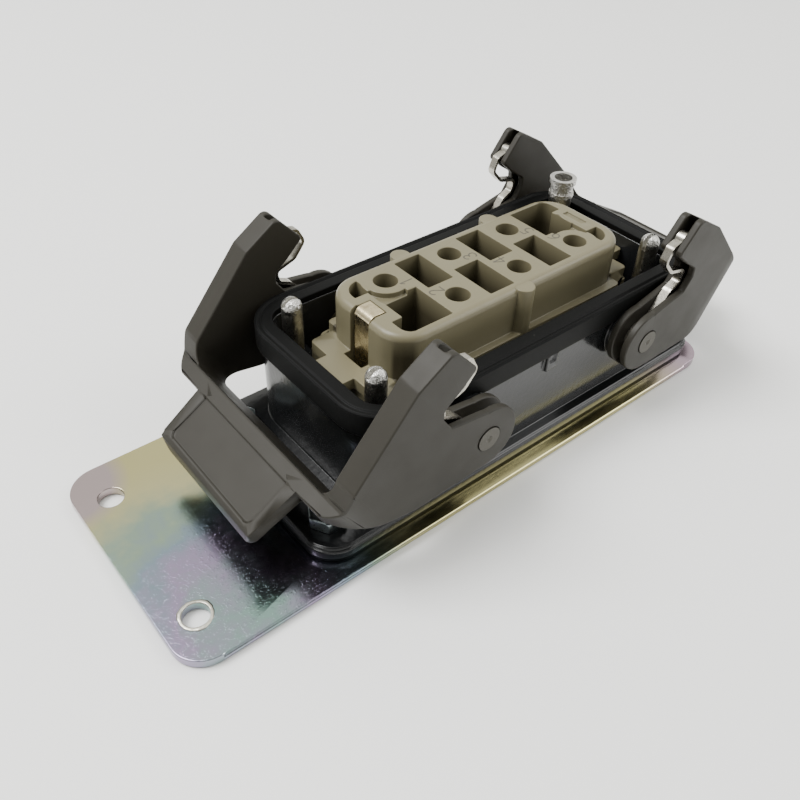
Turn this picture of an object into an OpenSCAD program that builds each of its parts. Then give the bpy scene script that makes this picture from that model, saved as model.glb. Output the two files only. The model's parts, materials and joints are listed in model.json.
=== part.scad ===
// Rectangular heavy duty connector: bulkhead housing with two locking levers and a
// six-way female insert, bolted to one end of a steel adapter plate.
// Millimetres. X runs along the plate, from the pair of free holes towards the connector.
// The origin is midway between the two free holes, on the underside of the plate.

/* [Adapter plate] */
// Thickness of the steel plate
plate_t = 2; // [1.5:0.1:4]
// Distance from the connector's centre to the free end of the plate
plate_free_reach = 87.6; // [82:0.1:120]
// Distance from the connector's centre to the covered end of the plate
plate_covered_reach = 54.8; // [54:0.1:70]
// Width of the plate
plate_w = 53.6; // [52:0.1:80]
// Corner radius of the plate
plate_corner_r = 6.5; // [2:0.1:10]
// Diameter of the two free fixing holes
plate_hole_d = 5.1; // [4:0.1:6.5]
// Distance from the free end to the centres of the free holes
plate_hole_inset = 6.6; // [5:0.1:10]
// Distance between the two free holes
plate_hole_pitch = 34.4; // [25:0.1:38]
// Length of the cut-out for the wires
cutout_l = 84; // [80:0.5:85]
// Width of the cut-out for the wires
cutout_w = 35; // [30:0.5:35.5]

/* [Housing flange] */
// Thickness of the rubber seal under the flange
flange_seal_t = 0.8; // [0.5:0.1:2]
// Thickness of the flange
flange_t = 2.9; // [2.4:0.1:5]
// Distance from the centre to the flange's end over the free part of the plate
flange_long_reach = 58.3; // [57.5:0.1:62]
// Distance from the centre to the flange's other end
flange_short_reach = 53.4; // [53.3:0.1:54]
// Width of the flange
flange_w = 48; // [46:0.1:51]
// Corner radius of the flange
flange_corner_r = 6.5; // [3:0.1:9]
// Radius of the rounding along the flange's top edge
flange_edge_r = 1; // [0.5:0.1:1.5]
// Distance from the centre to the screws in the flange's long end
screw_long_x = 52; // [51:0.1:53]
// Distance from the centre to the screws in the flange's short end
screw_short_x = 49.7; // [49.7:0.1:50]
// Distance between the two screws of one end
screw_pitch_y = 32; // [30:0.1:34]
// Shank diameter of a flange screw
screw_d = 4; // [3:0.1:4]
// Width across the flats of a flange screw's head
screw_af = 7; // [6:0.1:7]
// Height of a flange screw's head
screw_head_h = 2.8; // [2:0.1:3]

/* [Housing body] */
// Height of the housing's top edge above the underside of the plate
body_top_z = 28; // [27:0.1:30]
// Length of the body outside
body_l = 90.8; // [88:0.1:91]
// Width of the body outside
body_w = 42.6; // [41:0.1:43]
// Outer corner radius of the body
body_corner_r = 9; // [6:0.1:10]
// Thickness of the body's end walls
body_end_wall = 2.8; // [2.4:0.1:3]
// Thickness of the body's side walls
body_side_wall = 3.3; // [2.8:0.1:3.5]
// Corner radius of the opening
cavity_corner_r = 4.5; // [3:0.1:6]
// Side of the corner blocks that carry the insert
corner_block = 8.4; // [8:0.1:10]
// Height of the corner blocks' top face
block_top_z = 19.2; // [17:0.1:20]
// Height of the corner blocks' lower face
block_low_z = 9; // [6:0.5:12]
// Diameter of the round boss behind each lever arm
pivot_boss_d = 12; // [10:0.5:13]
// Distance the left lever's bosses stand out beyond the rim seal
boss_proud_left = 0.95; // [0:0.05:1.5]
// Distance the right lever's bosses stand out beyond the rim seal
boss_proud_right = 0.05; // [0:0.05:1.5]
// Width of the small guide rib in the middle of each long side
rib_w = 3.4; // [2:0.1:5]
// Height of that rib
rib_h = 4; // [3:0.1:6]

/* [Rim seal] */
// Thickness of the rim seal's skirt on the body's ends
rim_end_wall = 1.35; // [1:0.05:1.8]
// Thickness of the rim seal's skirt on the body's sides
rim_side_wall = 0.95; // [0.7:0.05:1.2]
// Thickness of the rim seal on top of the body
rim_top_t = 1.5; // [1:0.1:3]
// Height of the rim seal's outer skirt, from its top face down
rim_skirt_h = 5.2; // [3:0.1:7]
// Width of the groove along the top face
rim_groove_w = 0.6; // [0.4:0.1:1]
// Depth of the groove along the top face
rim_groove_d = 0.35; // [0.2:0.05:0.8]

/* [Insert] */
// Height of the mating face above the underside of the plate
face_z = 35.3; // [34:0.1:38]
// Length of the mating block
block_l = 64.8; // [63:0.1:66]
// Width of the mating block
block_w = 24.2; // [23.6:0.1:25]
// Corner radius of the mating block
block_corner_r = 6.6; // [5:0.1:8]
// Length of the widest part of the insert's flange
shelf_l = 60.6; // [58:0.1:62]
// Width of the insert's flange between the guide pins
shelf_waist_w = 20.6; // [16:0.1:21]
// Width of the tongue that fills the opening's end
shelf_tongue_w = 9; // [6:0.1:12]
// Rounding of the mating block's top edge
block_edge_r = 1.6; // [0.5:0.1:1.9]
// Height of the insert flange's top face
shelf_z = 25; // [24:0.1:26]
// Thickness of the insert flange
shelf_t = 2.6; // [2:0.1:3]
// Length of the insert below its flange
well_l = 66; // [64:0.1:66]
// Width of the insert below its flange
well_w = 27.6; // [26.8:0.1:28]
// Height of the insert's lowest face
well_low_z = 3; // [1:0.1:4]
// Distance between neighbouring contacts along the insert
contact_pitch = 17; // [16.6:0.1:17.4]
// Offset of a contact row's middle contact from the insert's centre
contact_shift = 4.2; // [4:0.1:4.4]
// Distance of each contact row from the centre line
contact_row_y = 6.1; // [5.9:0.05:6.3]
// Diameter of a contact hole in the mating face
contact_hole_d = 5; // [4.6:0.1:5.2]
// Width of a rectangular pocket
pocket_w = 6.5; // [6:0.1:6.8]
// Length of a rectangular pocket
pocket_l = 10.8; // [10:0.1:11.2]
// Depth of the pockets from the mating face
pocket_depth = 15; // [10:0.5:18]
// Diameter of the half-round ribs on the long sides
insert_rib_d = 4.2; // [3:0.1:5]

/* [Contacts] */
// Inner diameter of a socket
socket_d = 3.6; // [3:0.1:3.8]
// Depth of a socket
socket_depth = 12; // [8:0.5:14]
// Depth of a socket's mouth below the mating face
socket_recess = 4; // [2:0.1:6]
// Diameter of a contact's clamping end
clamp_d = 7; // [6:0.1:7.4]
// Length of a contact's clamping end
clamp_l = 9.5; // [7:0.5:10.5]
// Diameter of the wire hole in the clamping end
wire_d = 4.4; // [3:0.1:5]
// Diameter of a terminal screw
terminal_d = 3; // [2:0.1:3.5]

/* [Earth strip] */
// Width of the earth strip
earth_w = 4.6; // [3:0.1:5]
// Thickness of the earth strip
earth_t = 0.7; // [0.5:0.1:1]
// Length of the strip's tongue on the mating face
earth_tongue = 4.4; // [3:0.1:4.6]
// Height of the strip's foot
earth_foot_z = 12; // [10:0.5:14]
// Diameter of the earth screw
earth_screw_d = 3.5; // [3:0.1:4]

/* [Guide pins and bush] */
// Distance between guide pins along the insert
guide_pitch_x = 77.5; // [77:0.1:78]
// Distance between guide pins across the insert
guide_pitch_y = 27; // [26.5:0.1:27.5]
// Diameter of a guide pin
guide_pin_d = 4.2; // [3.5:0.1:4.6]
// Height of the guide pins' tops
guide_pin_z = 34.2; // [32:0.1:37]
// Width of the slot in a guide pin's top
guide_slot_w = 1; // [0.6:0.1:1.4]
// Depth of the slot in a guide pin's top
guide_slot_h = 1.8; // [1:0.1:3]
// Depth of the slot in the pronged guide pin
prong_slot_h = 3.4; // [2:0.1:5]
// Outer diameter of the guide bush
bush_d = 5.4; // [5:0.1:5.8]
// Bore of the guide bush
bush_bore_d = 4.3; // [4:0.1:4.6]
// Diameter of the collar at the bush's mouth
bush_collar_d = 6.4; // [6:0.1:7]
// Height of the guide bush's mouth
bush_z = 37; // [35:0.1:39]

/* [Levers] */
// Distance between the two levers' pivots
pivot_pitch = 47.8; // [46:0.1:48.5]
// Height of the pivots above the underside of the plate
pivot_z = 19.9; // [18.8:0.1:20.5]
// Diameter of a pivot pin
pivot_d = 5.2; // [4:0.1:5.6]
// Radius of the lobe around a pivot
lobe_r = 7; // [6.6:0.1:8]
// Thickness of a lever arm
arm_t = 5.2; // [5:0.1:6]
// Thickness of each of an arm's two walls
arm_wall = 1.6; // [1.2:0.1:1.8]
// Distance from the pivots to the outer face of the cross band, along the tab's slope
band_reach = 31.3; // [30:0.1:33]
// Slope of the cross band's inner face, from the vertical
band_draft = 36; // [30:1:50]
// Distance from the pivots to that inner face, along its own normal
band_inner_reach = 26; // [24:0.1:27]
// Outer corner radius of the left lever's U
left_corner_r = 8; // [5:0.1:10]
// Outer corner radius of the right lever's U
right_corner_r = 15; // [8:0.1:16]
// Inner corner radius of the lever's U
lever_inner_r = 3.5; // [2:0.1:6]
// Width of the grip tab at its outer edge
tab_w = 32.4; // [26:0.1:34]
// Length of the grip tab from its root to its outer edge
tab_l = 12.6; // [8:0.1:13.5]
// Thickness of the grip tab
tab_t = 3; // [2.4:0.1:4]
// Slope of the grip tab
tab_slope = 32; // [28:0.5:34]
// Width of the raised border along the grip tab's outer edge
tab_border = 1.3; // [1:0.05:2]
// Width of the border at the grip tab's sides
tab_side_border = 1.9; // [1:0.1:3]
// Depth of the recessed panel in the grip tab
panel_depth = 0.4; // [0.2:0.05:0.6]
// Angle between the two levers' rest positions
right_lever_lift = 5; // [0:0.5:9]
// Thickness of the locking springs' steel
spring_t = 0.7; // [0.4:0.05:0.9]

/* [Clearances] */
// Radial clearance between a lever and its pivot pin
pivot_gap = 0.05; // [0.02:0.01:0.09]
// Gap between a lever arm and the boss behind it
arm_gap = 0.3; // [0.2:0.05:0.6]
// Clearance round pieces that are pressed or screwed together
fit_gap = 0.05; // [0.02:0.01:0.1]
// Clearance round pieces that are laid into a pocket
seat_gap = 0.15; // [0.05:0.05:0.3]

/* [Hidden] */
$fn = 64;
corner_steps = 6;
over = 1;
far = 50;
almost_straight = 89;

// Levels, from the underside of the plate upwards
flange_low_z = plate_t + flange_seal_t;
flange_top_z = flange_low_z + flange_t;
rim_top_z = body_top_z + rim_top_t;
shelf_low_z = shelf_z - shelf_t;
socket_top_z = face_z - socket_recess;
clamp_low_z = well_low_z + seat_gap;
clamp_top_z = clamp_low_z + clamp_l;
foot_low_z = block_top_z;
foot_top_z = shelf_low_z;

// Places measured from the connector's centre
connector_x = plate_free_reach - plate_hole_inset;
cavity_l = body_l - 2 * body_end_wall;
cavity_w = body_w - 2 * body_side_wall;
rim_l = body_l + 2 * rim_end_wall;
rim_w = body_w + 2 * rim_side_wall;
rim_corner_r = body_corner_r + (rim_end_wall + rim_side_wall) / 2;
rim_low_z = rim_top_z - rim_skirt_h;
pivot_x = pivot_pitch / 2;
guide_x = guide_pitch_x / 2;
guide_y = guide_pitch_y / 2;
end_contact_x = contact_shift + contact_pitch;
pocket_x = contact_shift + contact_pitch / 2;
pocket_y = 4.45;
shelf_waist_l = 74;
shelf_corner_r = 1;
well_corner_r = 2;
insert_rib_x = 12.7;

// Feet of the insert, short of the guide pins
foot_l = 2 * (guide_x - seat_gap) - guide_pin_d;
foot_w = 2 * (guide_y - seat_gap) - guide_pin_d;

// Pocket at one end of the mating face, measured from its inner corner
end_pocket_x = pocket_x + 5.1;
end_pocket_outline = [
    [0, 0.8, 0.2], [0, -10.2, 0.2], [-11.1, -10.2, 4.2], [-11.1, -5.5, 0.3], [-8.5, -5.5, 0.3],
    [-8.5, 0.8, 0.3]
];

// Crescent in the corner beyond the end contact, and the channel that leads out of it
crescent_depth = 6;
crescent_x = 26;
crescent_y = 4.8;
crescent_edge = 2.7;
crescent_r = 5.2;
channel_depth = 1.2;
channel_r = 4.6;
channel_x = 26.6;
channel_y = 0.6;
channel_l = 6.8;
channel_w = 4.6;

// Marking recess, at the end opposite the earth strip
mark_x = 27.9;
mark_y = -2.2;
mark_l = 1.7;
mark_w = 5.8;
mark_depth = 0.5;

// Signs that place one piece on each side
sides = [-1, 1];

// Contacts as [place, number]: the upper row first, then the lower row
contact_places = [
    for (row = [1, -1]) for (k = [-1 : 1])
        [row * contact_shift * -1 + k * contact_pitch, row * contact_row_y]
];

// Side outline of a lever arm: [outward, up, corner radius], measured from the pivot
arm_outline = [
    [-1.5, -6.9, 1], [17, -8, 8], [28, -6.2, 5], [33.8, -4.6, 1.2], [35.4, -1, 0.4],
    [32.5, 0.8, 2], [31.2, 4.9, 3], [18.1, 20.7, 2], [10.7, 25.6, 1.6], [5.1, 19.5, 0.9],
    [8.8, 15.9, 3], [12, 13.4, 1.2], [11.9, 11.2, 1], [9.8, 8.3, 0.6], [0.5, 7, 3], [-2, 4, 1]
];

// Hollow between the two walls of an arm, open towards the mating face
arm_hollow = [
    [-12, -4.8, 0.5], [12.4, -5.2, 3], [20.9, 2.2, 4], [15.6, 17.4, 2], [13, 23.2, 0.8],
    [10.2, 26.6, 0.5], [4.8, 27.2, 1], [-12, 25.2, 1]
];

// Root of the grip tab, how far its recessed panel reaches back past the root, the slant of
// its outer edge and the taper of each side
tab_root = [35.4, -1];
tab_anchor = 3.2;
tab_slant = 1.4;
tab_taper = 0.9;
panel_back = 1.1;
panel_corner_r = 1.4;
tab_corner_r = 2.4;

// Centre line of a locking spring, from the pivot pin to the loop in the arm's tip
spring_line = [
    [2.1, 2.25], [7.6, 8.6, 2], [10.4, 9.8, 1.4], [10.9, 12.6, 1.2], [6.2, 14.2, 1.8],
    [3.7, 17.4, 1.4], [5.2, 20.3, 0.8], [7.6, 20.9]
];
spring_loop = [9, 20.7];
spring_loop_r = 1.7;
spring_side_gap = 0.1;

// ---- Functions -------------------------------------------------------------------

// Distances from the middle to a lever's bosses and to the two faces of its arms
function boss_face_y(side) = rim_w / 2 + (side < 0 ? boss_proud_left : boss_proud_right);
function arm_in_y(side) = boss_face_y(side) + arm_gap;
function arm_out_y(side) = arm_in_y(side) + arm_t;

function unit(v) = v / norm(v);
function flat2(p) = [p[0], p[1]];

// Points of the arc that rounds corner p between its neighbours a and b
function corner_arc(a, p, b) =
    let (
        u = unit(flat2(a) - flat2(p)),
        v = unit(flat2(b) - flat2(p)),
        half = acos(max(-1, min(1, u * v))) / 2,
        room = 0.48 * min(norm(flat2(a) - flat2(p)), norm(flat2(b) - flat2(p))),
        r = min(p[2], room * tan(half)),
        centre = flat2(p) + unit(u + v) * r / sin(half),
        start = flat2(p) + u * r / tan(half) - centre,
        turn = (u[0] * v[1] - u[1] * v[0] > 0 ? -1 : 1) * (180 - 2 * half)
    )
    p[2] <= 0 || half > almost_straight ? [flat2(p)] : [
        for (i = [0 : corner_steps])
            let (t = turn * i / corner_steps)
            centre + [start[0] * cos(t) - start[1] * sin(t), start[0] * sin(t) + start[1] * cos(t)]
    ];

// Closed outline with every corner [x, y, r] rounded
function rounded(p) = [
    for (i = [0 : len(p) - 1])
        each corner_arc(p[(i + len(p) - 1) % len(p)], p[i], p[(i + 1) % len(p)])
];

// Open line with its inner corners rounded
function rounded_line(p) = [
    flat2(p[0]),
    for (i = [1 : len(p) - 2]) each corner_arc(p[i - 1], p[i], p[i + 1]),
    flat2(p[len(p) - 1])
];

// Direction across an open line at its point i, long enough to keep a strip's width at a bend
function across_line(p, i) =
    let (
        a = unit(p[max(i, 1)] - p[max(i, 1) - 1]),
        b = unit(p[min(i, len(p) - 2) + 1] - p[min(i, len(p) - 2)]),
        n = unit([-a[1] - b[1], a[0] + b[0]])
    )
    n / (n * [-a[1], a[0]]);

// Outline of a strip of thickness t along an open line
function strip(p, t) = concat(
    [for (i = [0 : len(p) - 1]) p[i] + across_line(p, i) * t / 2],
    [for (i = [len(p) - 1 : -1 : 0]) p[i] - across_line(p, i) * t / 2]
);

// ---- Shared shapes ----------------------------------------------------------------

// Moves a piece from the connector's centre to its place on the plate
module at_connector() {
    translate([connector_x, 0, 0]) children();
}

// Rectangle l by w with round corners
module round_rect(l, w, r) {
    square([l - 2 * r, w], center = true);
    square([l, w - 2 * r], center = true);
    for (sx = sides, sy = sides)
        translate([sx * (l / 2 - r), sy * (w / 2 - r)]) circle(r = r);
}

// Prism between two levels
module prism(z0, z1) {
    translate([0, 0, z0]) linear_extrude(z1 - z0) children();
}

// Block with round corners and a rounded top edge
module soft_block(l, w, r, z0, z1, edge) {
    hull()
        for (sx = sides, sy = sides)
            translate([sx * (l / 2 - r), sy * (w / 2 - r), 0])
                rotate_extrude($fn = 32) {
                    translate([0, z0]) square([r, z1 - z0 - edge]);
                    translate([0, z1 - 2 * edge]) square([r - edge, 2 * edge]);
                    translate([r - edge, z1 - edge]) intersection() {
                        circle(r = edge, $fn = 24);
                        square(edge);
                    }
                }
}

// Prism across the connector, from one outline drawn in the side view
module across(y0, y1) {
    translate([0, y1, 0]) rotate([90, 0, 0]) linear_extrude(y1 - y0) children();
}

module at_pivot(side) {
    translate([side * pivot_x, 0, pivot_z]) children();
}

// ---- Plate and housing ------------------------------------------------------------

module plate_outline() {
    length = plate_free_reach + plate_covered_reach;
    translate([plate_covered_reach - length / 2, 0]) round_rect(length, plate_w, plate_corner_r);
}

module flange_outline(inset) {
    length = flange_long_reach + flange_short_reach;
    translate([flange_short_reach - length / 2, 0])
        round_rect(length - 2 * inset, flange_w - 2 * inset, flange_corner_r - inset);
}

// The four screws that hold the flange on the plate
module at_flange_screws() {
    for (x = [-screw_long_x, screw_short_x], sy = sides)
        translate([x, sy * screw_pitch_y / 2, 0]) children();
}

module cutout_outline() {
    round_rect(cutout_l, cutout_w, 3);
}

module adapter_plate() {
    color("tan") at_connector() difference() {
        prism(0, plate_t) plate_outline();
        translate([0, 0, -over]) prism(0, plate_t + 2 * over) cutout_outline();
        for (sy = sides)
            translate([-connector_x, sy * plate_hole_pitch / 2, -over])
                cylinder(d = plate_hole_d, h = plate_t + 2 * over);
        at_flange_screws() translate([0, 0, -over])
            cylinder(d = screw_d + 2 * fit_gap, h = plate_t + 2 * over);
    }
}

module flange_seal() {
    color("dimgray") at_connector() difference() {
        prism(plate_t, flange_low_z) flange_outline(0.3);
        prism(plate_t - over, flange_low_z + over) cutout_outline();
        at_flange_screws() translate([0, 0, plate_t - over])
            cylinder(d = screw_d + 2 * seat_gap, h = flange_seal_t + 2 * over);
    }
}

module flange_screws() {
    color("silver") at_connector() at_flange_screws() {
        cylinder(d = screw_d, h = flange_top_z + 0.2);
        translate([0, 0, flange_top_z]) intersection() {
            cylinder(d = screw_af / cos(30), h = screw_head_h, $fn = 6);
            cylinder(r1 = screw_af / 2 + screw_head_h + 0.15, r2 = screw_af / 2 + 0.15, h = screw_head_h);
        }
    }
}

// Four blocks in the corners of the housing, under the ends of the insert
module corner_blocks() {
    for (sx = sides, sy = sides)
        translate([sx * (cavity_l / 2 - corner_block / 2 + over / 2),
                   sy * (cavity_w / 2 - corner_block / 2 + over / 2), 0])
            prism(block_low_z, block_top_z) square(corner_block + over, center = true);
}

module guide_rib() {
    notch = rib_w / 2;
    translate([0, body_w / 2 - 0.5, rim_low_z - rib_h]) difference() {
        translate([-rib_w / 2, 0, 0]) cube([rib_w, 1.3, rib_h]);
        translate([-notch / 2, 0.8, rib_h / 2]) cube([notch, over, rib_h]);
    }
}

module housing() {
    color([0.1, 0.1, 0.11]) at_connector() difference() {
        union() {
            prism(flange_low_z, flange_top_z - flange_edge_r) flange_outline(0);
            prism(flange_low_z, flange_top_z - flange_edge_r * 0.45) flange_outline(flange_edge_r * 0.2);
            prism(flange_low_z, flange_top_z) flange_outline(flange_edge_r * 0.55);
            prism(flange_low_z, body_top_z) round_rect(body_l, body_w, body_corner_r);
            for (side = sides) at_pivot(side)
                across(-boss_face_y(side), boss_face_y(side)) circle(d = pivot_boss_d);
            for (turn = [0, 180]) rotate(turn) guide_rib();
        }
        difference() {
            prism(flange_low_z - over, body_top_z + over) round_rect(cavity_l, cavity_w, cavity_corner_r);
            corner_blocks();
        }
        for (sx = sides, sy = sides)
            translate([sx * guide_x, sy * guide_y, block_low_z - over])
                cylinder(d = guide_pin_d - 1 + 2 * fit_gap, h = block_top_z - block_low_z + 2 * over);
        for (side = sides) at_pivot(side)
            across(-body_w, body_w) circle(d = pivot_d + 2 * fit_gap);
        at_flange_screws() translate([0, 0, flange_low_z - over])
            cylinder(d = screw_d + 2 * seat_gap, h = flange_t + 2 * over);
    }
}

module rim_seal() {
    wall = rim_side_wall;
    color("black") at_connector() difference() {
        soft_ring();
        prism(rim_low_z - over, body_top_z)
            round_rect(body_l + 2 * fit_gap, body_w + 2 * fit_gap, body_corner_r + fit_gap);
        prism(body_top_z - over, rim_top_z + over) round_rect(cavity_l, cavity_w, cavity_corner_r);
        prism(rim_top_z - rim_groove_d, rim_top_z + over) difference() {
            round_rect(rim_l - 2 * wall, rim_w - 2 * wall, rim_corner_r - wall);
            round_rect(rim_l - 2 * wall - 2 * rim_groove_w, rim_w - 2 * wall - 2 * rim_groove_w,
                       rim_corner_r - wall - rim_groove_w);
        }
        // Room for the pivot bosses that rise behind the skirt
        for (side = sides) at_pivot(side)
            across(-body_w, body_w) circle(d = pivot_boss_d + 2 * seat_gap);
    }
}

// Outer form of the rim seal, with a stepped rounding along its top edge
module soft_ring() {
    edge = 0.25;
    prism(rim_low_z, rim_top_z - edge) round_rect(rim_l, rim_w, rim_corner_r);
    prism(rim_low_z, rim_top_z) round_rect(rim_l - 2 * edge, rim_w - 2 * edge, rim_corner_r - edge);
}

// ---- Insert -----------------------------------------------------------------------

module mating_outline(inset) {
    round_rect(block_l - 2 * inset, block_w - 2 * inset, block_corner_r - inset);
}

// Outline of the insert's flange, stepped round the guide pins
module shelf_outline() {
    round_rect(shelf_l, well_w, shelf_corner_r);
    round_rect(shelf_waist_l, shelf_waist_w, shelf_corner_r);
    round_rect(cavity_l - 2 * seat_gap, shelf_tongue_w, shelf_corner_r);
}

// Foot plate under the insert's flange; its corners rest on the housing's corner blocks
module insert_foot() {
    prism(foot_low_z, foot_top_z + 0.2) round_rect(foot_l, foot_w, shelf_corner_r);
}

// Pockets and grooves of one end of the mating face; the other end is the same, turned round
module end_pocket() {
    translate([-end_pocket_x, 0, 0])
        prism(face_z - pocket_depth, face_z + over) polygon(rounded(end_pocket_outline));
    prism(face_z - crescent_depth, face_z + over) difference() {
        intersection() {
            mating_outline(crescent_edge);
            translate([-crescent_x - far, crescent_y]) square(far);
        }
        translate([-end_contact_x, contact_row_y]) circle(r = crescent_r);
    }
    // Shallow channel from the crescent to the end pocket, curved round the end contact
    prism(face_z - channel_depth, face_z + over) difference() {
        translate([-channel_x, channel_y]) square([channel_l, channel_w]);
        translate([-end_contact_x, contact_row_y]) circle(r = channel_r);
    }
}

module pocket_outline() {
    square([pocket_w, pocket_l], center = true);
}

module insert_body() {
    color([0.72, 0.7, 0.6]) at_connector() difference() {
        union() {
            soft_block(block_l, block_w, block_corner_r, shelf_low_z, face_z, block_edge_r);
            prism(shelf_low_z, shelf_z) shelf_outline();
            prism(well_low_z, shelf_low_z + 0.2) round_rect(well_l, well_w, well_corner_r);
            insert_foot();
            for (p = [[-insert_rib_x, 1], [insert_rib_x, 1], [0, -1]])
                translate([p[0], p[1] * (block_w / 2 - 0.2), shelf_low_z])
                    cylinder(d = insert_rib_d, h = face_z - shelf_low_z - 0.1);
        }
        for (turn = [0, 180]) rotate(turn) {
            end_pocket();
            for (p = [[-pocket_x, pocket_y], [contact_shift, pocket_y]])
                translate([p[0], p[1], 0]) prism(face_z - pocket_depth, face_z + over) pocket_outline();
        }
        for (p = contact_places) translate([p[0], p[1], 0]) {
            translate([0, 0, clamp_top_z]) cylinder(d = contact_hole_d, h = face_z - clamp_top_z + over);
            translate([0, 0, well_low_z - over])
                cylinder(d = clamp_d + 2 * seat_gap, h = clamp_top_z - well_low_z + over);
        }
        // Side holes for the terminal screws
        for (p = contact_places)
            translate([p[0], p[1], clamp_low_z + clamp_l / 2]) rotate([p[1] > 0 ? -90 : 90, 0, 0])
                cylinder(d = terminal_d + 2 * seat_gap, h = well_w);
        // Slot for the earth strip down the end wall, and its seat on the mating face
        translate([-well_l / 2 - over, -earth_w / 2 - 0.5, earth_foot_z - over])
            cube([over + earth_t + 1.6, earth_w + 1, face_z]);
        translate([-block_l / 2 - over, -earth_w / 2 - 0.25, face_z - earth_t - 0.1])
            cube([over + earth_tongue + 0.3, earth_w + 0.5, over + earth_t]);
        translate([mark_x, mark_y, face_z - mark_depth]) cube([mark_l, mark_w, over]);
    }
}

// ---- Contacts ---------------------------------------------------------------------

module contact(k) {
    p = contact_places[k];
    tube_d = contact_hole_d - 2 * fit_gap;
    color("goldenrod") at_connector() translate([p[0], p[1], 0]) difference() {
        union() {
            translate([0, 0, clamp_low_z]) cylinder(d = clamp_d, h = clamp_l);
            translate([0, 0, clamp_top_z - 0.5]) cylinder(d = tube_d, h = socket_top_z - clamp_top_z + 0.5);
        }
        translate([0, 0, socket_top_z - socket_depth]) cylinder(d = socket_d, h = socket_depth + over);
        translate([0, 0, clamp_low_z - over]) cylinder(d = wire_d, h = clamp_l - 1.5 + over);
        translate([0, 0, clamp_low_z + clamp_l / 2]) rotate([p[1] > 0 ? -90 : 90, 0, 0])
            cylinder(d = terminal_d + 2 * fit_gap, h = clamp_d);
    }
}

module contact_1() {
    contact(0);
}

module contact_2() {
    contact(3);
}

module contact_3() {
    contact(1);
}

module contact_4() {
    contact(4);
}

module contact_5() {
    contact(2);
}

module contact_6() {
    contact(5);
}

// Six slotted screws that clamp the wires, reached through the sides of the insert
module terminal_screws() {
    reach = well_w / 2 - 0.6;
    color("silver") at_connector() for (p = contact_places)
        translate([p[0], 0, clamp_low_z + clamp_l / 2]) rotate([p[1] > 0 ? -90 : 90, 0, 0])
            difference() {
                translate([0, 0, contact_row_y + wire_d / 2 + 0.2])
                    cylinder(d = terminal_d, h = reach - contact_row_y - wire_d / 2 - 0.2);
                translate([0, 0, reach]) cube([terminal_d + over, 0.6, 1.6], center = true);
            }
}

// ---- Earth ------------------------------------------------------------------------

// Height of the strip's flat top, let into the mating face
earth_top_z = face_z + 0.05;
earth_wall_x = block_l / 2 - 0.6;
earth_foot = 7;

module earth_strip() {
    wall_x = -earth_wall_x + earth_t / 2;
    line = rounded_line([
        [-block_l / 2 + earth_tongue, earth_top_z - earth_t / 2], [wall_x, earth_top_z - earth_t / 2, 1.4],
        [wall_x, earth_foot_z + earth_t / 2, 0.6], [wall_x - earth_foot, earth_foot_z + earth_t / 2]
    ]);
    color("khaki") at_connector() difference() {
        across(-earth_w / 2, earth_w / 2) polygon(strip(line, earth_t));
        translate([wall_x - earth_foot + 2.6, 0, earth_foot_z - over])
            cylinder(d = earth_screw_d + 2 * fit_gap, h = earth_t + 2 * over);
    }
}

earth_hole_x = -earth_wall_x + earth_t / 2 - earth_foot + 2.6;

// Terminal plate fixed to the housing's end wall, with the wire clamp's thread
module earth_terminal() {
    color("goldenrod") at_connector() difference() {
        translate([-cavity_l / 2, -4.5, earth_foot_z - 3]) cube([8.4, 9, 3]);
        translate([earth_hole_x, 0, earth_foot_z - 3 - over])
            cylinder(d = earth_screw_d + 2 * fit_gap, h = 3 + 2 * over);
    }
}

module earth_screw() {
    head_h = 2.2;
    color("silver") at_connector() translate([earth_hole_x, 0, 0]) difference() {
        union() {
            translate([0, 0, earth_foot_z - 2.8]) cylinder(d = earth_screw_d, h = earth_t + 3);
            translate([0, 0, earth_foot_z + earth_t]) cylinder(d = 1.35 * earth_screw_d, h = head_h);
        }
        translate([0, 0, earth_foot_z + earth_t + head_h]) cube([2 * earth_screw_d, 0.8, 2], center = true);
    }
}

// ---- Guide pins and bush ------------------------------------------------------------

// Slotted pin with a rounded top, screwed into a corner block
module guide_pin(sx, sy, slot_h) {
    r = guide_pin_d / 2;
    color("silver") at_connector() translate([sx * guide_x, sy * guide_y, 0]) difference() {
        union() {
            translate([0, 0, block_low_z + 0.5])
                cylinder(d = guide_pin_d - 1, h = block_top_z - block_low_z);
            translate([0, 0, block_top_z]) cylinder(r = r, h = guide_pin_z - block_top_z - r);
            translate([0, 0, guide_pin_z - r]) intersection() {
                sphere(r = r);
                cylinder(r = r, h = r);
            }
        }
        translate([0, 0, guide_pin_z]) cube([3 * r, guide_slot_w, 2 * slot_h], center = true);
    }
}

module guide_pin_left_back() {
    guide_pin(-1, 1, guide_slot_h);
}

module guide_pin_left_front() {
    guide_pin(-1, -1, guide_slot_h);
}

module guide_pin_right_front() {
    guide_pin(1, -1, prong_slot_h);
}

// Hollow bush that takes the other half's guide pin
module guide_bush() {
    color("silver") at_connector() translate([guide_x, guide_y, 0]) difference() {
        union() {
            translate([0, 0, block_low_z + 0.5])
                cylinder(d = guide_pin_d - 1, h = block_top_z - block_low_z);
            translate([0, 0, block_top_z]) cylinder(d = guide_pin_d, h = foot_top_z - block_top_z + 0.4);
            translate([0, 0, foot_top_z + 0.2]) cylinder(d = bush_d, h = bush_z - foot_top_z - 0.2);
            translate([0, 0, bush_z - 1.2]) cylinder(d = bush_collar_d, h = 1.2);
            translate([0, 0, bush_z - 4.4]) cylinder(d = bush_d + 0.5, h = 0.8);
        }
        translate([0, 0, bush_z - 11]) cylinder(d = bush_bore_d, h = 11 + over);
    }
}

// ---- Levers -------------------------------------------------------------------------

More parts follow.
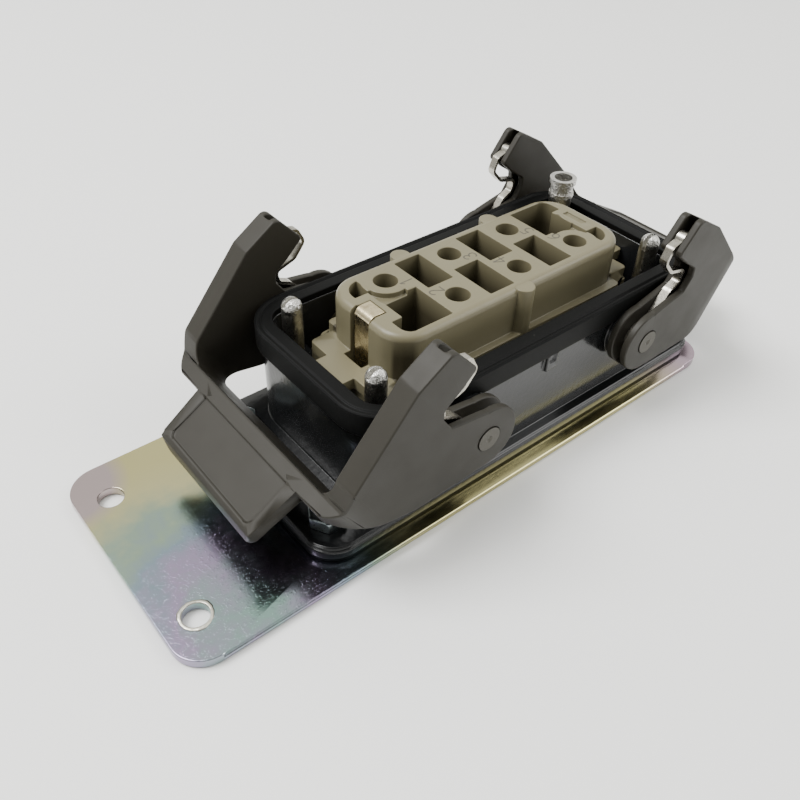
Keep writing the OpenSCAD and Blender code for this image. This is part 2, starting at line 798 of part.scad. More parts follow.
// Pin pressed into the housing's wall; the lever arm turns on it
module pivot_pin(side, sy) {
    inner_y = cavity_w / 2 + 0.3;
    head_y = arm_out_y(side) + 0.15;
    color("gray") at_connector() at_pivot(side) rotate([sy > 0 ? -90 : 90, 0, 0]) difference() {
        translate([0, 0, inner_y]) cylinder(d = pivot_d, h = head_y - inner_y);
        translate([0, 0, head_y]) cylinder(r1 = 0.3, r2 = 1.3, h = 0.5, center = true);
    }
}

module pivot_pin_left_front() {
    pivot_pin(-1, -1);
}

module pivot_pin_left_back() {
    pivot_pin(-1, 1);
}

module pivot_pin_right_front() {
    pivot_pin(1, -1);
}

module pivot_pin_right_back() {
    pivot_pin(1, 1);
}

// Block that ends at a distance from the pivot axis, measured along a slope
module sloped_block(slope, reach, w, r) {
    rotate([0, slope, 0]) prism(-far, far) translate([reach - far, 0]) round_rect(2 * far, w, r);
}

// Grip tab in its own frame: X from the root to the outer edge, top face at Z = 0
module grip_tab() {
    panel_l = tab_l - tab_slant + panel_back - tab_border;
    panel_w = tab_w - 2 * tab_side_border;
    root_y = tab_w / 2 + tab_taper;
    difference() {
        intersection() {
            prism(-tab_t, 0) polygon(rounded([
                [-tab_anchor, -root_y, 0], [0, -root_y, 1.5], [tab_l, -tab_w / 2, tab_corner_r],
                [tab_l, tab_w / 2, tab_corner_r], [0, root_y, 1.5], [-tab_anchor, root_y, 0]
            ]));
            across(-root_y - over, root_y + over) polygon([
                [-tab_anchor - over, -tab_t - over], [tab_l + tab_slant * over / tab_t, -tab_t - over],
                [tab_l - tab_slant - tab_slant * over / tab_t, over], [-tab_anchor - over, over]
            ]);
        }
        translate([panel_l / 2 - panel_back, 0, 0])
            prism(-panel_depth, over) round_rect(panel_l, panel_w, panel_corner_r);
    }
}

// One lever, opening outwards along +X, measured from its pivot axis
module lever(side, corner_r) {
    in_y = arm_in_y(side);
    out_y = arm_out_y(side);
    slot_w = arm_t - 2 * arm_wall;
    difference() {
        union() {
            difference() {
                intersection() {
                    across(-out_y, out_y) {
                        polygon(rounded(arm_outline));
                        circle(r = lobe_r);
                    }
                    sloped_block(tab_slope, band_reach, 2 * out_y, corner_r);
                }
                sloped_block(band_draft, band_inner_reach, 2 * in_y, lever_inner_r);
            }
            translate([tab_root[0], 0, tab_root[1]]) rotate([0, tab_slope, 0]) grip_tab();
        }
        for (sy = sides) translate([0, sy * (in_y + arm_t / 2), 0])
            across(-slot_w / 2, slot_w / 2) polygon(rounded(arm_hollow));
        across(-out_y - over, out_y + over) circle(d = pivot_d + 2 * pivot_gap);
    }
}

// Puts a piece of a lever on its pivot, at the angle where the lever rests
module at_lever(side) {
    at_connector() at_pivot(side) mirror([side < 0 ? 1 : 0, 0, 0])
        rotate([0, side > 0 ? -right_lever_lift : 0, 0]) children();
}

module lever_left() {
    color([0.55, 0.54, 0.52]) at_lever(-1) lever(-1, left_corner_r);
}

module lever_right() {
    color([0.55, 0.54, 0.52]) at_lever(1) lever(1, right_corner_r);
}

// Locking spring: an eye round the pivot pin, a leaf along the hook and a loop at the tip
module spring(side, sy) {
    half_w = arm_t / 2 - arm_wall - spring_side_gap;
    eye_r = pivot_d / 2 + pivot_gap + spring_t;
    translate([0, sy * (arm_in_y(side) + arm_t / 2), 0]) difference() {
        union() {
            across(-half_w, half_w) polygon(strip(rounded_line(spring_line), spring_t));
            across(-half_w, half_w) circle(r = eye_r);
            translate([spring_loop[0], 0, spring_loop[1]])
                across(-half_w, half_w) circle(r = spring_loop_r);
        }
        across(-half_w - over, half_w + over) circle(r = eye_r - spring_t);
        translate([spring_loop[0], 0, spring_loop[1]])
            across(-half_w - over, half_w + over) circle(r = spring_loop_r - spring_t);
    }
}

module spring_left_front() {
    color("lightgray") at_lever(-1) spring(-1, -1);
}

module spring_left_back() {
    color("lightgray") at_lever(-1) spring(-1, 1);
}

module spring_right_front() {
    color("lightgray") at_lever(1) spring(1, -1);
}

module spring_right_back() {
    color("lightgray") at_lever(1) spring(1, 1);
}

adapter_plate();
flange_seal();
housing();
flange_screws();
rim_seal();
insert_body();
contact_1();
contact_2();
contact_3();
contact_4();
contact_5();
contact_6();
terminal_screws();
earth_strip();
earth_terminal();
earth_screw();
guide_pin_left_back();
guide_pin_left_front();
guide_pin_right_front();
guide_bush();
pivot_pin_left_front();
pivot_pin_left_back();
pivot_pin_right_front();
pivot_pin_right_back();
lever_left();
lever_right();
spring_left_front();
spring_left_back();
spring_right_front();
spring_right_back();
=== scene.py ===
"""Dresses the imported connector: softened edges, surface detail, floor, light and camera."""

import json
import math

import bmesh
import bpy
from mathutils import Matrix, Vector
from mathutils.bvhtree import BVHTree
from mathutils.kdtree import KDTree

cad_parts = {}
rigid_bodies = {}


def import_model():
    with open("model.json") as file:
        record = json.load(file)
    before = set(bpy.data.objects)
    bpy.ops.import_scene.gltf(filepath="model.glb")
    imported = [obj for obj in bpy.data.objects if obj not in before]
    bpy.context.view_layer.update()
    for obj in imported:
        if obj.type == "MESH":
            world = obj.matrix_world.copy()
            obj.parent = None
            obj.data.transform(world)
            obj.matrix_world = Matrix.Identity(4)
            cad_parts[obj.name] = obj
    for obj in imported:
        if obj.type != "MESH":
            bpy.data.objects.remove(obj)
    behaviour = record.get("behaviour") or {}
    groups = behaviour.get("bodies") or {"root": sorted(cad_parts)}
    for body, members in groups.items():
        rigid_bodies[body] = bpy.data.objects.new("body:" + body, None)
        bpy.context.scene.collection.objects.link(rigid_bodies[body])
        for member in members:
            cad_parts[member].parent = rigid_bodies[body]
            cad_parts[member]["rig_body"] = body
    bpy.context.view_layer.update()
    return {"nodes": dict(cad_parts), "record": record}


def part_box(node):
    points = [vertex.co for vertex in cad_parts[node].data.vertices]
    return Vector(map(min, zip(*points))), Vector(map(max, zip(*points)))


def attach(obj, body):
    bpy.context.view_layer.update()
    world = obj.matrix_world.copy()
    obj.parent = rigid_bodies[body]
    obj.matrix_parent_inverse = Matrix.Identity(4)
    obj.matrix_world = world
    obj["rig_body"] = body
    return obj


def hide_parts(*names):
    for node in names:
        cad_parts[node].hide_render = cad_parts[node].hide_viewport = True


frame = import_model()
CAD = frame["nodes"]
MM = 0.001

# The connector's centre in the row frame, from the box of its mating face
insert_lo, insert_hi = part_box("insert_body")
CENTRE = Vector(((insert_lo.x + insert_hi.x) / 2, (insert_lo.y + insert_hi.y) / 2, 0))


# ---- Node helpers -------------------------------------------------------------------

# Sockets of the colour mix node, whose names repeat
MIX_SHARE, MIX_A, MIX_B = 0, 6, 7
MIX_COLOUR = 2


class Tree:
    """A material's node tree, with one short call per kind of node."""

    def __init__(self, name, metallic, roughness, **sockets):
        self.material = bpy.data.materials.new(name)
        self.material.use_nodes = True
        self.tree = self.material.node_tree
        self.shader = self.tree.nodes["Principled BSDF"]
        self.shader.inputs["Metallic"].default_value = metallic
        self.shader.inputs["Roughness"].default_value = roughness
        for key, value in sockets.items():
            self.shader.inputs[key.replace("_", " ")].default_value = value
        self.place = self.node("ShaderNodeTexCoord").outputs["Object"]

    def node(self, kind, **settings):
        made = self.tree.nodes.new(kind)
        for key, value in settings.items():
            setattr(made, key, value)
        return made

    def put(self, value, socket):
        """Link an output to a socket, or set the socket to a plain value."""
        if hasattr(value, "links"):
            self.tree.links.new(value, socket)
        else:
            socket.default_value = value

    def feed(self, made, **values):
        for key, value in values.items():
            self.put(value, made.inputs[key.replace("_", " ")])
        return made

    def noise(self, grain, detail=2.0, roughness=0.5, stretch=None):
        """Noise whose features are about grain millimetres long."""
        made = self.feed(self.node("ShaderNodeTexNoise"), Scale=1 / (grain * MM), Detail=detail,
                         Roughness=roughness, Vector=self.stretched(stretch))
        return made.outputs["Fac"]

    def cells(self, grain):
        """Distance to the nearest of scattered points about grain millimetres apart."""
        made = self.node("ShaderNodeTexVoronoi", feature="F1")
        self.feed(made, Scale=1 / (grain * MM), Vector=self.place)
        return made.outputs["Distance"]

    def stretched(self, stretch):
        if stretch is None:
            return self.place
        made = self.feed(self.node("ShaderNodeMapping"), Vector=self.place, Scale=stretch)
        return made.outputs["Vector"]

    def ramp(self, value, *stops):
        """Colour or grey from a value; each stop is (position, grey or colour)."""
        made = self.node("ShaderNodeValToRGB")
        bar = made.color_ramp.elements
        while len(bar) < len(stops):
            bar.new(0.5)
        for element, (position, colour) in zip(bar, stops):
            element.position = position
            element.color = colour_of(colour)
        self.feed(made, Fac=value)
        return made.outputs["Color"]

    def mix(self, share, a, b):
        """Colour a where the share is 0, colour b where it is 1."""
        made = self.node("ShaderNodeMix", data_type="RGBA", blend_type="MIX")
        self.put(share, made.inputs[MIX_SHARE])
        for index, value in ((MIX_A, a), (MIX_B, b)):
            self.put(value if hasattr(value, "links") else colour_of(value), made.inputs[index])
        return made.outputs[MIX_COLOUR]

    def math(self, operation, a, b=0.0):
        made = self.node("ShaderNodeMath", operation=operation)
        for index, value in enumerate((a, b)):
            self.put(value, made.inputs[index])
        return made.outputs[0]

    def away(self, value, middle):
        """Distance of a value from the middle, whichever side it is on."""
        return self.math("ABSOLUTE", self.math("SUBTRACT", value, middle))

    def times(self, a, b):
        return self.math("MULTIPLY", a, b)

    def plus(self, a, b):
        return self.math("ADD", a, b)

    def near(self, point, inner, outer):
        """1 within inner millimetres of a point of the frame, falling to 0 at outer."""
        made = self.node("ShaderNodeVectorMath", operation="DISTANCE")
        self.tree.links.new(self.place, made.inputs[0])
        made.inputs[1].default_value = point
        fall = self.node("ShaderNodeMapRange")
        self.feed(fall, Value=made.outputs["Value"], From_Min=inner * MM, From_Max=outer * MM,
                  To_Min=1.0, To_Max=0.0)
        return fall.outputs["Result"]

    def axis(self, name):
        """X, Y or Z of the frame, in metres."""
        made = self.node("ShaderNodeSeparateXYZ")
        self.tree.links.new(self.place, made.inputs[0])
        return made.outputs[name]

    def rise(self, value, low, high):
        """0 at low millimetres, 1 at high millimetres."""
        made = self.node("ShaderNodeMapRange")
        self.feed(made, Value=value, From_Min=low * MM, From_Max=high * MM, To_Min=0.0, To_Max=1.0)
        return made.outputs["Result"]

    def bump(self, height, depth, under=None):
        """Relief of depth millimetres at height 1."""
        made = self.feed(self.node("ShaderNodeBump"), Height=height, Distance=depth * MM,
                         Strength=1.0)
        if under is not None:
            self.tree.links.new(under, made.inputs["Normal"])
        return made.outputs["Normal"]

    def finish(self, colour, roughness=None, normal=None):
        for key, value in (("Base Color", colour), ("Roughness", roughness), ("Normal", normal)):
            if value is not None:
                self.tree.links.new(value, self.shader.inputs[key])
        return self.material


def colour_of(value):
    if isinstance(value, (int, float)):
        return (value, value, value, 1.0)
    return (*value, 1.0)


# ---- Finishes -----------------------------------------------------------------------

def black_coating():
    """Gloss powder coat with orange peel, duller where it has been rubbed."""
    t = Tree("black_coating", 0.0, 0.2)
    peel = t.noise(1.1, 2.0)
    fine = t.noise(0.3, 3.0)
    worn = t.ramp(t.noise(9.0, 4.0, 0.6), (0.52, 0.0), (0.72, 1.0))
    colour = t.mix(worn, (0.009, 0.0095, 0.010), (0.016, 0.017, 0.018))
    rough = t.plus(t.times(worn, 0.10), t.times(fine, 0.12))
    rough = t.plus(rough, 0.12)
    return t.finish(colour, rough, t.bump(fine, 0.004, t.bump(peel, 0.035)))


def seal_rubber():
    """Matt black rubber with fine grain and a few dust specks."""
    t = Tree("seal_rubber", 0.0, 0.55, Specular_IOR_Level=0.12)
    grain = t.noise(0.25, 3.0)
    specks = t.ramp(t.cells(1.7), (0.03, 1.0), (0.045, 0.0))
    sparse = t.ramp(t.noise(4.0, 2.0), (0.6, 0.0), (0.66, 1.0))
    dust = t.times(specks, sparse)
    colour = t.mix(t.noise(6.0, 3.0), (0.0012, 0.0013, 0.0013), (0.003, 0.0032, 0.003))
    colour = t.mix(dust, colour, (0.14, 0.14, 0.13))
    rough = t.plus(t.times(grain, 0.25), 0.42)
    return t.finish(colour, rough, t.bump(grain, 0.006))


def lever_plastic():
    """Warm grey moulded plastic, matt, with faint blotches and small rubbed marks."""
    t = Tree("lever_plastic", 0.0, 0.5, Specular_IOR_Level=0.3)
    blotch = t.noise(14.0, 3.0, 0.55)
    colour = t.mix(blotch, (0.020, 0.0175, 0.0125), (0.027, 0.0245, 0.0185))
    marks = t.ramp(t.cells(3.1), (0.02, 1.0), (0.05, 0.0))
    marks = t.times(marks, t.ramp(t.noise(7.0, 2.0), (0.56, 0.0), (0.64, 1.0)))
    colour = t.mix(marks, colour, (0.07, 0.066, 0.058))
    grain = t.noise(0.35, 3.0)
    rough = t.plus(t.times(t.noise(5.0, 3.0), 0.18), 0.42)
    return t.finish(colour, rough, t.bump(grain, 0.008, t.bump(blotch, 0.02)))


def insert_plastic():
    """Pale beige moulded plastic with a satin skin, with painted shade making it dark brown down in
    its pockets.
    """
    t = Tree("insert_plastic", 0.0, 0.35, Specular_IOR_Level=0.4)
    colour = t.mix(t.noise(11.0, 3.0), (0.150, 0.133, 0.078), (0.18, 0.162, 0.10))
    specks = t.times(t.ramp(t.cells(2.3), (0.02, 1.0), (0.04, 0.0)),
                     t.ramp(t.noise(5.0, 2.0), (0.6, 0.0), (0.66, 1.0)))
    colour = t.mix(specks, colour, (0.10, 0.085, 0.055))
    # Painted shade: inside the block's outline and below its face the colour turns dark brown,
    # standing in for the shade in the pockets and holes
    inside_y = t.rise(t.away(t.axis("Y"), CENTRE.y), 11.9, 11.5)
    inside_x = t.rise(t.away(t.axis("X"), CENTRE.x), 31.6, 31.2)
    depth = t.rise(t.axis("Z"), insert_hi.z / MM - 0.2, insert_hi.z / MM - 5.0)
    painted_pocket_shade = t.times(t.times(inside_x, inside_y), depth)
    colour = t.mix(t.times(painted_pocket_shade, 0.85), colour, (0.034, 0.028, 0.016))
    grain = t.noise(0.5, 3.0)
    rough = t.plus(t.times(t.noise(3.0, 3.0), 0.16), 0.28)
    return t.finish(colour, rough, t.bump(grain, 0.006))


def number_groove_shade():
    """Painted shade for the numbers on the insert: a dark colour that stands in for the shadow in
    their engraved strokes.
    """
    t = Tree("insert_number_groove_shade", 0.0, 0.5)
    colour = t.mix(t.noise(0.6, 3.0), (0.05, 0.045, 0.03), (0.085, 0.078, 0.055))
    return t.finish(colour, None, t.bump(t.noise(0.3, 2.0), 0.004))


def zinc_plate():
    """Zinc plating with a yellowish passivation that turns blue and purple in patches."""
    t = Tree("zinc_plate", 1.0, 0.2)
    lo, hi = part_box("adapter_plate")
    straw = t.mix(t.noise(26.0, 3.0, 0.5), (0.40, 0.365, 0.175), (0.49, 0.45, 0.235))
    front = t.near((lo.x + 0.012, lo.y + 0.004, hi.z), 8, 46)
    back = t.near((lo.x, hi.y - 0.002, hi.z), 9, 13)
    far = t.near((hi.x, lo.y + 0.002, hi.z), 8, 26)
    wander = t.noise(9.0, 3.0, 0.6)
    film = t.ramp(t.plus(t.times(front, 0.62), t.times(wander, 0.42)),
                  (0.34, (0.46, 0.44, 0.26)), (0.50, (0.26, 0.34, 0.27)),
                  (0.62, (0.22, 0.28, 0.33)), (0.74, (0.30, 0.25, 0.36)),
                  (0.9, (0.22, 0.33, 0.30)))
    colour = t.mix(t.ramp(front, (0.05, 0.0), (0.4, 1.0)), straw, film)
    colour = t.mix(t.times(back, 0.8), colour, (0.36, 0.29, 0.34))
    colour = t.mix(t.times(far, 0.8), colour, (0.38, 0.28, 0.40))
    glints = t.ramp(t.noise(0.45, 3.0), (0.56, 0.0), (0.66, 1.0))
    patch = t.ramp(t.plus(front, t.times(wander, 0.5)), (0.62, 0.0), (0.95, 1.0))
    rubbed = t.times(patch, glints)
    grain = t.noise(0.5, 3.0, 0.5, (1.0, 3.0, 1.0))
    rough = t.plus(t.times(t.noise(2.2, 4.0, 0.6), 0.14), 0.12)
    relief = t.bump(rubbed, 0.012, t.bump(grain, 0.0015))
    return t.finish(colour, rough, relief)


def bright_metal(name, colour, dark, rough, grain=0.4):
    """Plated or turned metal with light tool marks and a little tarnish."""
    t = Tree(name, 1.0, rough)
    stain = t.ramp(t.noise(1.6, 4.0, 0.65), (0.46, 0.0), (0.7, 0.6))
    shade = t.mix(stain, colour, dark)
    fine = t.noise(grain, 3.0)
    level = t.plus(t.times(fine, 0.2), rough - 0.08)
    level = t.plus(level, t.times(stain, 0.2))
    return t.finish(shade, level, t.bump(fine, 0.006))


def pin_metal():
    """Guide pins with crumpled bright tips, and duller heads where the pivots are riveted."""
    t = Tree("pin_steel", 1.0, 0.3)
    stain = t.ramp(t.noise(1.6, 4.0, 0.65), (0.46, 0.0), (0.7, 0.6))
    shade = t.mix(stain, (0.48, 0.465, 0.42), (0.17, 0.15, 0.11))
    tip = t.rise(t.axis("Z"), 31.2, 32.4)
    head = t.rise(t.math("ABSOLUTE", t.axis("Y")), 20.0, 21.0)
    shade = t.mix(tip, shade, (0.62, 0.61, 0.58))
    shade = t.mix(head, shade, (0.105, 0.10, 0.088))
    fine = t.noise(0.4, 3.0)
    crumple = t.times(t.noise(0.9, 3.0, 0.6), tip)
    level = t.plus(t.times(fine, 0.2), 0.2)
    level = t.plus(level, t.times(head, 0.25))
    return t.finish(shade, level, t.bump(crumple, 0.5, t.bump(fine, 0.006)))


FINISH = {
    "black_coating": black_coating(),
    "seal_rubber": seal_rubber(),
    "lever_plastic": lever_plastic(),
    "insert_plastic": insert_plastic(),
    "zinc_plate": zinc_plate(),
    "screw_steel": bright_metal("screw_steel", (0.27, 0.31, 0.32), (0.10, 0.11, 0.10), 0.28),
    "plated_strip": bright_metal("plated_strip", (0.60, 0.52, 0.34), (0.22, 0.16, 0.08), 0.22, 0.6),
    "contact_metal": bright_metal("contact_metal", (0.70, 0.64, 0.52), (0.30, 0.25, 0.17), 0.3),
    "pin_steel": pin_metal(),
    "spring_steel": bright_metal("spring_steel", (0.46, 0.44, 0.39), (0.18, 0.155, 0.11), 0.24),
}
# Painted shade for the engraved strokes of the numbers
NUMBER_GROOVE_SHADE = number_groove_shade()
SLOT_OF = {part["node"]: part["material_slot"] for part in frame["record"]["subparts"]}


# ---- New pieces ---------------------------------------------------------------------

def put_in_scene(name, data):
    made = bpy.data.objects.new(name, data)
    bpy.context.scene.collection.objects.link(made)
    return made


def body_of(node):
    for body in ("left_lever", "right_lever"):
        if CAD[node]["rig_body"] == body:
            return body
    return "base"


def piece_of(name, work, body, material):
    """A new piece on a body from a bmesh, in the frame's own coordinates."""
    mesh = bpy.data.meshes.new(name)
    work.to_mesh(mesh)
    work.free()
    piece = put_in_scene(name, mesh)
    mesh.materials.append(material)
    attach(piece, body)
    return piece


# ---- Softened copies of the solids ---------------------------------------------------

# Corners closer than this many millimetres are one corner
MERGE_GAP = 0.002
# Faces within this many degrees of each other are one flat
FLAT_ANGLE = 0.6
# Edges that turn by more than this many degrees are rounded
SHARP_ANGLE = 34
# An edge isn't rounded where a face beside it narrows to less than this many degrees
NEEDLE_ANGLE = 24
# Shading stays sharp across edges that turn by more than this many degrees
SHADE_ANGLE = 50
# How far a rounding may leave the solid's surface, as a share of its width
STRAY_SHARE = 0.7
# Attempts to find the edges that can't be rounded
MOST_TURNS = 14


def pinched(edge):
    """Whether a face beside the edge narrows to a needle at one of its ends."""
    corners = [c.calc_angle() for side in edge.link_loops for c in (side, side.link_loop_next)]
    return min(corners) < math.radians(NEEDLE_ANGLE)


def unfit(edge):
    """Whether an edge is too shallow, open or pinched to be rounded."""
    return (len(edge.link_faces) != 2 or edge.calc_face_angle() < math.radians(SHARP_ANGLE)
            or pinched(edge))


def clean_solid(node):
    """The solid's mesh with its flats in one piece each."""
    work = bmesh.new()
    work.from_mesh(CAD[node].data)
    bmesh.ops.remove_doubles(work, verts=work.verts, dist=MERGE_GAP * MM)
    bmesh.ops.dissolve_limit(work, angle_limit=math.radians(FLAT_ANGLE), verts=work.verts,
                             edges=work.edges)
    work.edges.index_update()
    work.verts.index_update()
    work.verts.ensure_lookup_table()
    return work


def rounded_trial(work, barred, reach, steps):
    """A copy of a mesh with every edge rounded but the barred ones."""
    trial = work.copy()
    sharp = [e for e in trial.edges if e.index not in barred]
    bmesh.ops.bevel(trial, geom=sharp, offset=reach, offset_type="OFFSET", segments=steps,
                    profile=0.5, affect="EDGES", clamp_overlap=False, miter_outer="ARC",
                    loop_slide=True)
    return trial


def strayed(trial, surface, limit):
    """Corners of a rounded mesh that are off the solid's surface, or on an edge that is."""
    def off(point):
        return surface.find_nearest(point)[3] > limit

    far = {v for v in trial.verts if off(v.co)}
    far |= {e.verts[0] for e in trial.edges if off(e.verts[0].co.lerp(e.verts[1].co, 0.5))}
    return far


def softened(node, width, steps):
    """A copy of a solid's mesh with its sharp edges rounded, shown in the solid's place.

    Edges from which a rounding would stray off the solid's surface are left sharp."""
    work = clean_solid(node)
    surface = BVHTree.FromBMesh(work)
    corners = KDTree(len(work.verts))
    for v in work.verts:
        corners.insert(v.co, v.index)
    corners.balance()
    reach = width * MM
    barred = {e.index for e in work.edges if unfit(e)}
    for _ in range(MOST_TURNS):
        trial = rounded_trial(work, barred, reach, steps)
        far = strayed(trial, surface, STRAY_SHARE * reach)
        bmesh.ops.triangulate(trial, faces=[f for f in trial.faces if len(f.verts) > 4])
        if not far:
            break
        found = set()
        for v in far:
            ends = [e.other_vert(v) for e in v.link_edges]
            for w in [x for x in ends if x not in far] or [v]:
                near = {index for _, index, _ in corners.find_range(w.co, 1.5 * reach)}
                near.add(corners.find(w.co)[1])
                found.update(e.index for index in near for e in work.verts[index].link_edges)
        if found <= barred:
            reach *= 0.6
        barred |= found
        trial.free()
    else:
        trial = work.copy()
    work.free()
    piece = piece_of(node + "_soft", trial, body_of(node), FINISH[SLOT_OF[node]])
    for face in piece.data.polygons:
        face.use_smooth = True
    piece.data.set_sharp_from_angle(angle=math.radians(SHADE_ANGLE))
    weigh = piece.modifiers.new("normals", "WEIGHTED_NORMAL")
    weigh.keep_sharp = True
    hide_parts(node)


# Width in millimetres and number of steps of the rounding
SOFT_EDGES = {
    "adapter_plate": (0.22, 2), "flange_seal": (0.15, 2), "housing": (0.3, 2),
    "rim_seal": (0.25, 2), "insert_body": (0.18, 2), "lever_left": (0.35, 3),
    "lever_right": (0.35, 3), "flange_screws": (0.25, 2), "earth_strip": (0.1, 2),
}
for name, (width, steps) in SOFT_EDGES.items():
    softened(name, width, steps)

for name, solid in CAD.items():
    if name not in SOFT_EDGES:
        solid.data.materials.clear()
        solid.data.materials.append(FINISH[SLOT_OF[name]])


# ---- Numbers and burr ---------------------------------------------------------------

# Strokes of each digit on a 1.8 by 3.2 mm field: (right, up)
DIGITS = {
    "1": ((0.35, 2.45), (0.95, 3.2), (0.95, 0.0)),
    "2": ((0.1, 2.5), (0.35, 3.0), (0.9, 3.2), (1.45, 2.95), (1.6, 2.4), (1.35, 1.8),
          (0.1, 0.0), (1.75, 0.0)),
    "3": ((0.15, 2.6), (0.4, 3.05), (0.9, 3.2), (1.4, 3.0), (1.55, 2.45), (1.3, 1.9), (0.8, 1.7),
          (1.4, 1.5), (1.7, 0.9), (1.45, 0.25), (0.85, 0.0), (0.3, 0.15), (0.05, 0.6)),
    "4": ((1.25, 0.0), (1.25, 3.2), (0.05, 1.0), (1.8, 1.0)),
    "5": ((1.55, 3.2), (0.4, 3.2), (0.2, 1.75), (0.8, 2.0), (1.35, 1.8), (1.65, 1.1),
          (1.4, 0.35), (0.8, 0.0), (0.1, 0.25)),
    "6": ((1.45, 3.0), (0.9, 2.7), (0.35, 1.9), (0.1, 1.1), (0.35, 0.35), (0.9, 0.0), (1.45, 0.3),
          (1.65, 1.0), (1.35, 1.65), (0.85, 1.85), (0.3, 1.5)),
}
# Middle of each digit, in millimetres from the connector's centre
NUMBER_PLACES = {"1": (-18.1, 3.4), "2": (-15.6, -2.8), "3": (-1.4, 2.8), "4": (2.4, -2.2),
                 "5": (15.8, 3.0), "6": (18.7, -2.3)}
# Middle of the digits' field, and how much their height is pressed together
DIGIT_MIDDLE = (0.9, 1.6)
DIGIT_PRESS = 0.95
STROKE_HALF_WIDTH = 0.14
# How far a stroke reaches below and above the insert's face
STROKE_DEPTH = 0.1
STROKE_LIFT = 0.012
# Strokes that meet differ by this much in height, so that their faces don't coincide
STROKE_STEP = 0.002


def stroke_bar(work, a, b, low, high):
    """One stroke of a digit: a flat bar from a to b with pointed ends."""
    along = (b - a).normalized() * STROKE_HALF_WIDTH * MM
    side = Vector((-along.y, along.x, 0))
    point = along * 0.6
    ends = [a - point, a + side, b + side, b + point, b - side, a - side]
    top = [work.verts.new((v.x, v.y, high)) for v in ends]
    bottom = [work.verts.new((v.x, v.y, low)) for v in ends]
    work.faces.new(reversed(top))
    work.faces.new(bottom)
    for i, j in neighbours(ends):
        work.faces.new((top[i], top[j], bottom[j], bottom[i]))


def neighbours(loop):
    """Each place of a closed loop with the next one."""
    return [(i, (i + 1) % len(loop)) for i in range(len(loop))]


def numbers():
    """Each digit's top points along -X and its right along +Y."""
    for digit, strokes in DIGITS.items():
        work = bmesh.new()
        x, y = NUMBER_PLACES[digit]
        points = [CENTRE + MM * Vector((x - (up - DIGIT_MIDDLE[1]) * DIGIT_PRESS,
                                        y + (right - DIGIT_MIDDLE[0]), 0))
                  for right, up in strokes]
        for index, (a, b) in enumerate(zip(points, points[1:])):
            lift = STROKE_LIFT + STROKE_STEP * (index % 3)
            stroke_bar(work, a, b, insert_hi.z - STROKE_DEPTH * MM, insert_hi.z + lift * MM)
        bmesh.ops.recalc_face_normals(work, faces=work.faces)
        piece_of("number_" + digit, work, "base", NUMBER_GROOVE_SHADE)


# The nearer free hole's radius and its place across the plate, in millimetres
HOLE_R = 2.55
HOLE_Y = -17.2
BURR_CORNERS = 72


def burr_ring():
    """Raised, torn ring of zinc round the nearer free hole."""
    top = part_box("adapter_plate")[1].z
    middle = Vector((0, HOLE_Y * MM, top))
    work = bmesh.new()
    rings = []
    for i in range(BURR_CORNERS):
        angle = 2 * math.pi * i / BURR_CORNERS
        tear = math.sin(11 * angle) * math.cos(5 * angle + 1)
        wave = 0.5 + 0.28 * math.sin(3 * angle + 0.7) + 0.22 * tear
        width = 0.55 + 0.35 * wave
        crest = 0.05 + 0.13 * max(0.0, wave)
        profile = ((HOLE_R + 0.01, -0.2), (HOLE_R + 0.02, crest * 0.7), (HOLE_R + 0.15, crest),
                   (HOLE_R + 0.05 + width * 0.6, crest * 0.55), (HOLE_R + 0.05 + width, -0.02))
        out = Vector((math.cos(angle), math.sin(angle), 0))
        rings.append([work.verts.new(middle + out * r * MM + Vector((0, 0, z * MM)))
                      for r, z in profile])
    for i, k in neighbours(rings):
        a, b = rings[i], rings[k]
        for j, m in neighbours(a):
            work.faces.new((a[j], b[j], b[m], a[m]))
    bmesh.ops.recalc_face_normals(work, faces=work.faces)
    burr = bright_metal("burr_zinc", (0.62, 0.60, 0.52), (0.24, 0.22, 0.15), 0.3, 0.3)
    ring = piece_of("burr_ring", work, "base", burr)
    for face in ring.data.polygons:
        face.use_smooth = True


numbers()
burr_ring()


# ---- Studio -------------------------------------------------------------------------

# Half the floor's width, in metres
FLOOR_HALF = 3.0
# The floor lies just below the plate's underside
FLOOR_DROP = 0.0002
# Side of the sky that is brightest
SKY_BRIGHT_SIDE = (0.35, 0.45, 0.82)
LIGHT_AIM = Vector((0.06, 0.0, 0.02))
# Name, place and size in metres, and watts
LIGHTS = (
    ("key", (-0.35, 0.30, 0.85), 0.5, 13.5),
    ("fill", (0.7, -0.5, 0.6), 0.6, 4.5),
)


def floor():
    mesh = bpy.data.meshes.new("floor")
    corners = [(x * FLOOR_HALF, y * FLOOR_HALF, 0) for x, y in ((-1, -1), (1, -1), (1, 1), (-1, 1))]
    mesh.from_pydata(corners, [], [(0, 1, 2, 3)])
    piece = put_in_scene("floor", mesh)
    piece.location.z = -FLOOR_DROP
    t = Tree("floor", 0.0, 0.6)
    mesh.materials.append(t.finish(t.mix(t.noise(300, 2.0), (0.90, 0.90, 0.89),
                                         (0.93, 0.93, 0.92))))


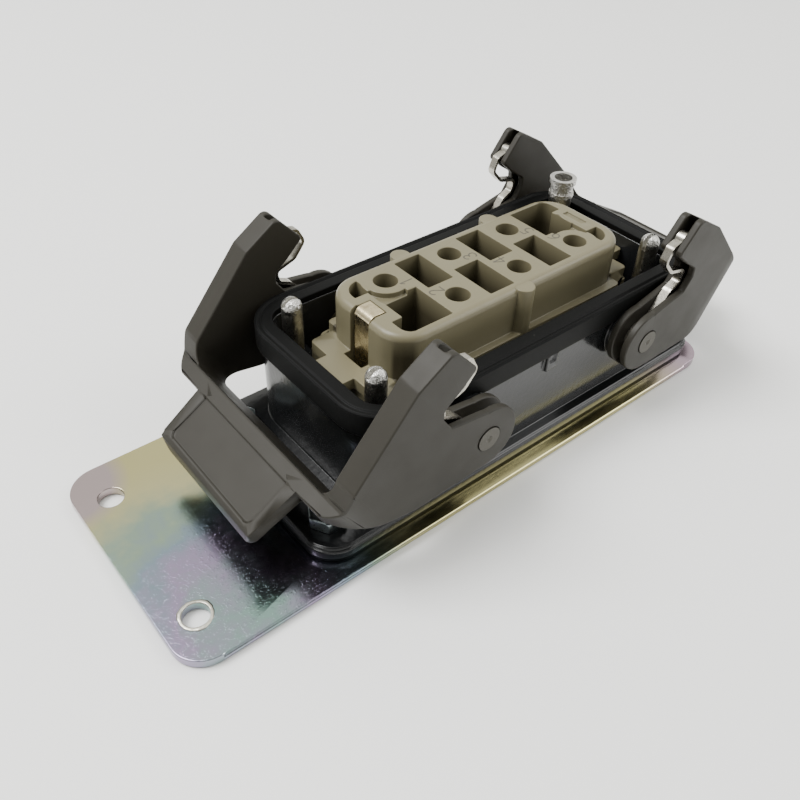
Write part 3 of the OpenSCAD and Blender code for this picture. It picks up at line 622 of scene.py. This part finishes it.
def sky():
    """Even light that is brighter on one side of the part."""
    world = bpy.data.worlds.new("studio")
    world.use_nodes = True
    tree = world.node_tree
    toward = tree.nodes.new("ShaderNodeVectorMath")
    toward.operation = "DOT_PRODUCT"
    toward.inputs[1].default_value = Vector(SKY_BRIGHT_SIDE).normalized()
    tree.links.new(tree.nodes.new("ShaderNodeTexCoord").outputs["Generated"], toward.inputs[0])
    level = tree.nodes.new("ShaderNodeMapRange")
    tree.links.new(toward.outputs["Value"], level.inputs["Value"])
    for key, value in (("From Min", -0.2), ("From Max", 0.95), ("To Min", 0.3), ("To Max", 1.45)):
        level.inputs[key].default_value = value
    background = tree.nodes["Background"]
    tree.links.new(level.outputs["Result"], background.inputs["Strength"])
    background.inputs["Color"].default_value = colour_of((0.98, 0.98, 0.93))
    bpy.context.scene.world = world


def lights():
    for name, place, size, power in LIGHTS:
        data = bpy.data.lights.new(name, "AREA")
        data.size = size
        data.energy = power
        lamp = put_in_scene(name, data)
        lamp.location = place
        lamp.rotation_euler = (LIGHT_AIM - Vector(place)).to_track_quat("-Z", "Y").to_euler()


# The viewpoint, in degrees and in metres from the connector's centre
VIEW_AZIMUTH, VIEW_ELEVATION, VIEW_ROLL = -40.66, 41.58, 2.29
VIEW_PLACE = (-0.107926, -0.100751, 0.125706)


def camera():
    azimuth, elevation, roll = (math.radians(v) for v in (VIEW_AZIMUTH, VIEW_ELEVATION, VIEW_ROLL))
    back = Vector((math.sin(azimuth) * math.cos(elevation),
                   -math.cos(azimuth) * math.cos(elevation), math.sin(elevation)))
    right = (-back).cross(Vector((0, 0, 1))).normalized()
    up = right.cross(-back)
    across = right * math.cos(roll) + up * math.sin(roll)
    upward = -right * math.sin(roll) + up * math.cos(roll)
    data = bpy.data.cameras.new("camera")
    data.sensor_width = 36
    data.lens = 36.87
    data.clip_start = 0.01
    data.clip_end = 20
    viewer = put_in_scene("camera", data)
    turned = Matrix((across, upward, back)).transposed().to_4x4()
    viewer.matrix_world = Matrix.Translation(CENTRE + Vector(VIEW_PLACE)) @ turned
    bpy.context.scene.camera = viewer


floor()
sky()
lights()
camera()
